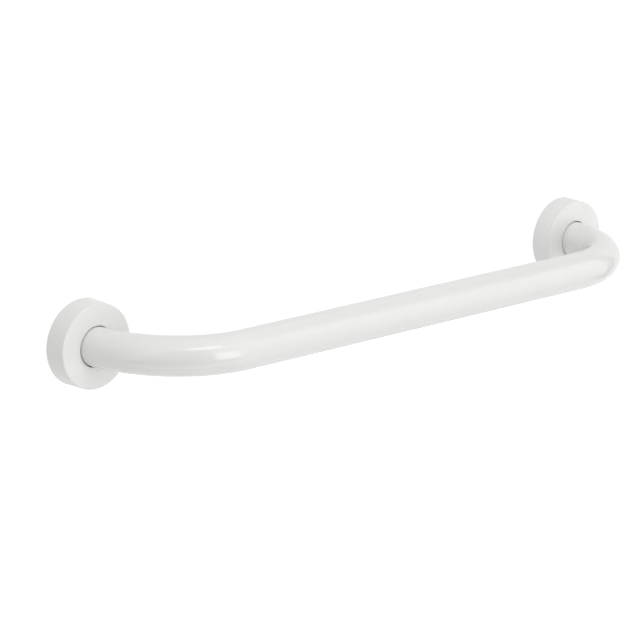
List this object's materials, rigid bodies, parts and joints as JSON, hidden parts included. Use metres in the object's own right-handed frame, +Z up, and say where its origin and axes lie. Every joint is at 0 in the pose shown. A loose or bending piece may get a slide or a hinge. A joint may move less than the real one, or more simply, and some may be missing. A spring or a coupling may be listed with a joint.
{
  "type": "grab bar",
  "caption": "Straight wall grab bar of bent tube, with its ends turned back to round wall flanges under loose round covers that slide away along the tube.",
  "frame": {"origin": "on the wall plane, midway between the two wall flanges, level with the axis of the bar", "axes": "+X along the bar, to the right as seen from the room; +Y into the wall; +Z up"},
  "size_m": [0.6746, 0.1204, 0.0746],
  "materials": {
    "white_powder_coat": "smooth semi-gloss white powder coat on steel",
    "white_moulding": "smooth moulded white plastic"
  },
  "bodies": {
    "bar": {"grip_tube": "white_powder_coat", "left_wall_flange": "white_powder_coat", "right_wall_flange": "white_powder_coat"},
    "left_cover": {"left_cover": "white_moulding"},
    "right_cover": {"right_cover": "white_moulding"}
  },
  "joints": [
    {"name": "left_cover_travel", "type": "hinge", "parent": "bar", "child": "left_cover", "pos_m": [-0.2106, -0.014, 0], "axis": [0, 0, 1], "range_deg": [0, 85]},
    {"name": "right_cover_travel", "type": "hinge", "parent": "bar", "child": "right_cover", "pos_m": [0.2106, -0.014, 0], "axis": [0, 0, -1], "range_deg": [0, 85]}
  ]
}
